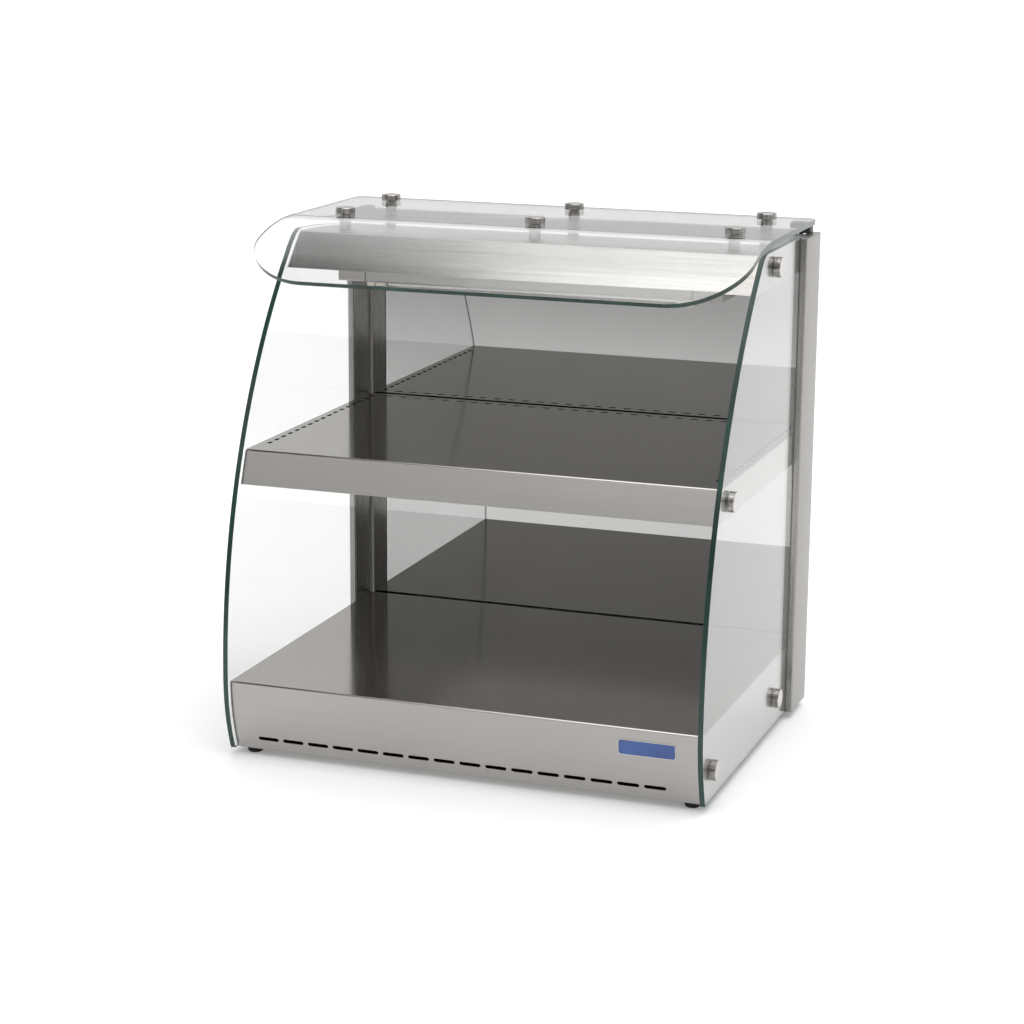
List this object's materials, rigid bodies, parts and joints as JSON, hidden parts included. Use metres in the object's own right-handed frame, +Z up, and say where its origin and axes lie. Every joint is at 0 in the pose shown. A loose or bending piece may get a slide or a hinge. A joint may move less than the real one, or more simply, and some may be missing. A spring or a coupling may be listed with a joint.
{
  "type": "hot food display case",
  "caption": "Countertop self-service hot food display with heated base and shelf, curved side and top glass, lamp canopy and a mirrored rear door.",
  "frame": {"origin": "centre of the object's footprint at the level it stands on", "axes": "+X to the customer's right, +Y from the customer towards the operator, +Z up"},
  "size_m": [0.6, 0.481, 0.6263],
  "materials": {
    "brushed_steel": "satin brushed",
    "polished_steel": "near mirror polished",
    "dull_steel": "plain mill",
    "chrome": "polished",
    "clear_glass": "polished, green edges",
    "mirror": "silvered glass",
    "rubber": "matt",
    "black_plastic": "satin",
    "ceramic": "unglazed ceramic",
    "insulation": "mineral board",
    "amber_lens": "translucent amber",
    "quartz": "clear quartz"
  },
  "bodies": {
    "case": {"base_front_panel": "brushed_steel", "base_heater": "dull_steel", "base_insulation": "insulation", "base_rear_panel": "brushed_steel", "base_top_plate": "polished_steel", "base_tray": "dull_steel", "cable_gland": "black_plastic", "canopy_cover": "brushed_steel", "canopy_end_left": "brushed_steel", "canopy_end_right": "brushed_steel", "canopy_liner": "polished_steel", "door_magnet": "black_plastic", "foot_front_left": "rubber", "foot_front_right": "rubber", "foot_rear_left": "rubber", "foot_rear_right": "rubber", "glass_fixing_base_front_left": "chrome", "glass_fixing_base_front_right": "chrome", "glass_fixing_base_rear_left": "chrome", "glass_fixing_base_rear_right": "chrome", "glass_fixing_canopy_left": "chrome", "glass_fixing_canopy_right": "chrome", "glass_fixing_shelf_left": "chrome", "glass_fixing_shelf_right": "chrome", "hinge_block_bottom": "black_plastic", "hinge_block_top": "black_plastic", "indicator_lamp": "amber_lens", "lamp_end_left": "brushed_steel", "lamp_end_right": "brushed_steel", "lamp_housing": "brushed_steel", "lamp_reflector": "polished_steel", "lamp_switch_housing": "black_plastic", "lamp_tube": "quartz", "power_switch_housing": "black_plastic", "shelf_bracket_left": "dull_steel", "shelf_bracket_right": "dull_steel", "shelf_heater": "dull_steel", "shelf_top_plate": "polished_steel", "shelf_tray": "brushed_steel", "side_glass_left": "clear_glass", "side_glass_right": "clear_glass", "terminal_block": "ceramic", "thermostat_body": "ceramic", "top_fixing_front_left": "chrome", "top_fixing_front_middle": "chrome", "top_fixing_front_right": "chrome", "top_fixing_rear_left": "chrome", "top_fixing_rear_middle": "chrome", "top_fixing_rear_right": "chrome", "top_glass": "clear_glass", "upright_left": "brushed_steel", "upright_right": "brushed_steel"},
    "door": {"door_mirror": "mirror", "door_panel": "brushed_steel", "door_handle": "chrome", "hinge_pin_top": "chrome", "hinge_pin_bottom": "chrome"},
    "power_rocker": {"power_switch_rocker": "amber_lens"},
    "lamp_rocker": {"lamp_switch_rocker": "black_plastic"},
    "knob": {"thermostat_knob": "black_plastic"}
  },
  "joints": [
    {"name": "door_swing", "type": "hinge", "parent": "case", "child": "door", "pos_m": [0.277, 0.209, 0.34], "axis": [0, 0, -1], "range_deg": [0, 100]},
    {"name": "power_switch_press", "type": "hinge", "parent": "case", "child": "power_rocker", "pos_m": [-0.205, 0.1915, 0.046], "axis": [-1, 0, 0], "range_deg": [0, 16]},
    {"name": "lamp_switch_press", "type": "hinge", "parent": "case", "child": "lamp_rocker", "pos_m": [-0.165, 0.1915, 0.046], "axis": [-1, 0, 0], "range_deg": [0, 16]},
    {"name": "thermostat_turn", "type": "hinge", "parent": "case", "child": "knob", "pos_m": [-0.078, 0.193, 0.046], "axis": [0, -1, 0], "range_deg": [0, 270]}
  ]
}
